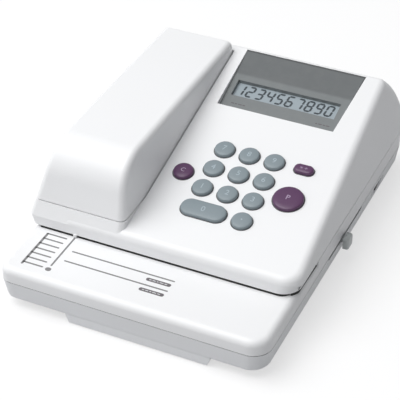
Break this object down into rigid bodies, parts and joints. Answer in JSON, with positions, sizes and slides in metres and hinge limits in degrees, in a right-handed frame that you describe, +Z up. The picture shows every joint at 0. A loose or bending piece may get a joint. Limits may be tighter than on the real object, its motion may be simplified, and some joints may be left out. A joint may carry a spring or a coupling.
{
  "type": "check writer",
  "caption": "Desk-top electronic check writer with a sloping key panel, LCD window, paper tray with sliding stop and a hinged cover over the printing wheel.",
  "frame": {"origin": "on the desk under the middle of the bounding box", "axes": "+X to the right of the person using it, +Y from the tray at the front to the rear, +Z up"},
  "size_m": [0.2064, 0.282, 0.098],
  "materials": {
    "case_plastic": "fine moulded texture",
    "digit_key": "satin",
    "function_key": "satin",
    "window": "gloss",
    "lcd": "gloss",
    "black_plastic": "fine moulded texture",
    "dark_grey_plastic": "satin",
    "silicone": "matte",
    "circuit_board": "solder mask",
    "cable": "matte",
    "steel": "brushed",
    "motor": "satin",
    "nylon": "satin",
    "brass": "machined",
    "type_metal": "satin",
    "roller_rubber": "ground",
    "ink_foam": "porous, inked",
    "cell": "printed sleeve"
  },
  "bodies": {
    "machine": {"base_housing": "case_plastic", "batteries": "cell", "battery_contacts": "steel", "board_screws": "steel", "case_screws": "steel", "dc_jack": "black_plastic", "display_bezel": "window", "drive_motor": "motor", "frame_plates": "steel", "frame_spacers": "steel", "head_brackets": "steel", "keypad_board": "circuit_board", "keypad_membrane": "silicone", "lcd_holder": "black_plastic", "lcd_panel": "lcd", "main_board": "circuit_board", "paper_guide": "case_plastic", "paper_table": "case_plastic", "pinch_spring": "steel", "ribbon_cable": "cable", "roller_cradle": "black_plastic", "rubber_feet": "roller_rubber", "shaft_bushes": "dark_grey_plastic", "switch_body": "black_plastic", "upper_housing": "case_plastic"},
    "print_cover": {"print_cover": "case_plastic", "hinge_pins": "steel"},
    "paper_stop": {"paper_stop": "dark_grey_plastic", "stop_lever": "case_plastic"},
    "power_switch": {"power_switch": "black_plastic"},
    "battery_door": {"battery_door": "case_plastic"},
    "print_wheel": {"print_shaft": "steel", "type_wheel": "type_metal", "print_gear": "nylon"},
    "reduction_gear": {"reduction_gear": "nylon"},
    "motor_pinion": {"motor_pinion": "brass"},
    "feed_roller": {"feed_shaft": "steel", "feed_roller": "roller_rubber", "feed_gear": "nylon"},
    "platen_roller": {"platen_shaft": "steel", "platen_roller": "roller_rubber"},
    "pinch_holder": {"pinch_holder": "black_plastic"},
    "pinch_roller": {"pinch_roller": "roller_rubber", "pinch_shaft": "steel"},
    "ink_roller": {"ink_roller": "ink_foam", "ink_shaft": "steel"},
    "key_0": {"key_0": "digit_key"},
    "key_1": {"key_1": "digit_key"},
    "key_2": {"key_2": "digit_key"},
    "key_3": {"key_3": "digit_key"},
    "key_4": {"key_4": "digit_key"},
    "key_5": {"key_5": "digit_key"},
    "key_6": {"key_6": "digit_key"},
    "key_7": {"key_7": "digit_key"},
    "key_8": {"key_8": "digit_key"},
    "key_9": {"key_9": "digit_key"},
    "key_decimal": {"key_decimal": "digit_key"},
    "key_clear": {"key_clear": "function_key"},
    "key_print": {"key_print": "function_key"},
    "key_symbol": {"key_symbol": "function_key"}
  },
  "joints": [
    {"name": "cover_hinge", "type": "hinge", "parent": "machine", "child": "print_cover", "pos_m": [-0.066, 0.0959, 0.09104], "axis": [-1, 0, 0], "range_deg": [0, 45]},
    {"name": "stop_slide", "type": "slide", "parent": "machine", "child": "paper_stop", "axis": [0, 1, 0], "range_m": [-0.018, 0.016]},
    {"name": "switch_slide", "type": "slide", "parent": "machine", "child": "power_switch", "axis": [0, 1, 0], "range_m": [0, 0.004]},
    {"name": "door_slide", "type": "slide", "parent": "machine", "child": "battery_door", "axis": [0, 1, 0], "range_m": [0, 0.05]},
    {"name": "print_spin", "type": "hinge", "parent": "machine", "child": "print_wheel", "pos_m": [-0.06295, -0.066, 0.0513], "axis": [0, 1, 0], "continuous": true},
    {"name": "reduction_spin", "type": "hinge", "parent": "machine", "child": "reduction_gear", "pos_m": [-0.05324, -0.024, 0.07799], "axis": [0, 1, 0], "continuous": true},
    {"name": "motor_spin", "type": "hinge", "parent": "machine", "child": "motor_pinion", "pos_m": [-0.07127, -0.017, 0.07139], "axis": [0, 1, 0], "continuous": true},
    {"name": "feed_spin", "type": "hinge", "parent": "machine", "child": "feed_roller", "pos_m": [-0.04061, -0.066, 0.0262], "axis": [0, 1, 0], "continuous": true},
    {"name": "platen_spin", "type": "hinge", "parent": "machine", "child": "platen_roller", "pos_m": [-0.06295, -0.066, 0.0262], "axis": [0, 1, 0], "continuous": true},
    {"name": "pinch_slide", "type": "slide", "parent": "machine", "child": "pinch_holder", "axis": [0, 0, 1], "range_m": [0, 0.002], "stiffness_N_per_m": 300, "springref_m": -0.002, "deforming": ["pinch_spring"]},
    {"name": "pinch_spin", "type": "hinge", "parent": "pinch_holder", "child": "pinch_roller", "pos_m": [-0.04061, -0.066, 0.0405], "axis": [0, 1, 0], "continuous": true},
    {"name": "ink_spin", "type": "hinge", "parent": "machine", "child": "ink_roller", "pos_m": [-0.07111, -0.066, 0.07397], "axis": [0, 1, 0], "continuous": true},
    {"name": "key_0_press", "type": "slide", "parent": "machine", "child": "key_0", "axis": [0, -0.2079, 0.9782], "range_m": [-0.0015, 0], "stiffness_N_per_m": 60, "springref_m": 0.001},
    {"name": "key_1_press", "type": "slide", "parent": "machine", "child": "key_1", "axis": [0, -0.2079, 0.9782], "range_m": [-0.0015, 0], "stiffness_N_per_m": 60, "springref_m": 0.001},
    {"name": "key_2_press", "type": "slide", "parent": "machine", "child": "key_2", "axis": [0, -0.2079, 0.9782], "range_m": [-0.0015, 0], "stiffness_N_per_m": 60, "springref_m": 0.001},
    {"name": "key_3_press", "type": "slide", "parent": "machine", "child": "key_3", "axis": [0, -0.2079, 0.9782], "range_m": [-0.0015, 0], "stiffness_N_per_m": 60, "springref_m": 0.001},
    {"name": "key_4_press", "type": "slide", "parent": "machine", "child": "key_4", "axis": [0, -0.2079, 0.9782], "range_m": [-0.0015, 0], "stiffness_N_per_m": 60, "springref_m": 0.001},
    {"name": "key_5_press", "type": "slide", "parent": "machine", "child": "key_5", "axis": [0, -0.2079, 0.9782], "range_m": [-0.0015, 0], "stiffness_N_per_m": 60, "springref_m": 0.001},
    {"name": "key_6_press", "type": "slide", "parent": "machine", "child": "key_6", "axis": [0, -0.2079, 0.9782], "range_m": [-0.0015, 0], "stiffness_N_per_m": 60, "springref_m": 0.001},
    {"name": "key_7_press", "type": "slide", "parent": "machine", "child": "key_7", "axis": [0, -0.2079, 0.9782], "range_m": [-0.0015, 0], "stiffness_N_per_m": 60, "springref_m": 0.001},
    {"name": "key_8_press", "type": "slide", "parent": "machine", "child": "key_8", "axis": [0, -0.2079, 0.9782], "range_m": [-0.0015, 0], "stiffness_N_per_m": 60, "springref_m": 0.001},
    {"name": "key_9_press", "type": "slide", "parent": "machine", "child": "key_9", "axis": [0, -0.2079, 0.9782], "range_m": [-0.0015, 0], "stiffness_N_per_m": 60, "springref_m": 0.001},
    {"name": "key_decimal_press", "type": "slide", "parent": "machine", "child": "key_decimal", "axis": [0, -0.2079, 0.9782], "range_m": [-0.0015, 0], "stiffness_N_per_m": 60, "springref_m": 0.001},
    {"name": "key_clear_press", "type": "slide", "parent": "machine", "child": "key_clear", "axis": [0, -0.2079, 0.9782], "range_m": [-0.0015, 0], "stiffness_N_per_m": 60, "springref_m": 0.001},
    {"name": "key_print_press", "type": "slide", "parent": "machine", "child": "key_print", "axis": [0, -0.2079, 0.9782], "range_m": [-0.0015, 0], "stiffness_N_per_m": 60, "springref_m": 0.001},
    {"name": "key_symbol_press", "type": "slide", "parent": "machine", "child": "key_symbol", "axis": [0, -0.2079, 0.9782], "range_m": [-0.0015, 0], "stiffness_N_per_m": 60, "springref_m": 0.001}
  ],
  "couplings": [
    {"joint": "reduction_spin", "follows": "print_spin", "ratio": -4.0714},
    {"joint": "motor_spin", "follows": "print_spin", "ratio": 12.214},
    {"joint": "feed_spin", "follows": "print_spin", "ratio": -2.1111}
  ]
}
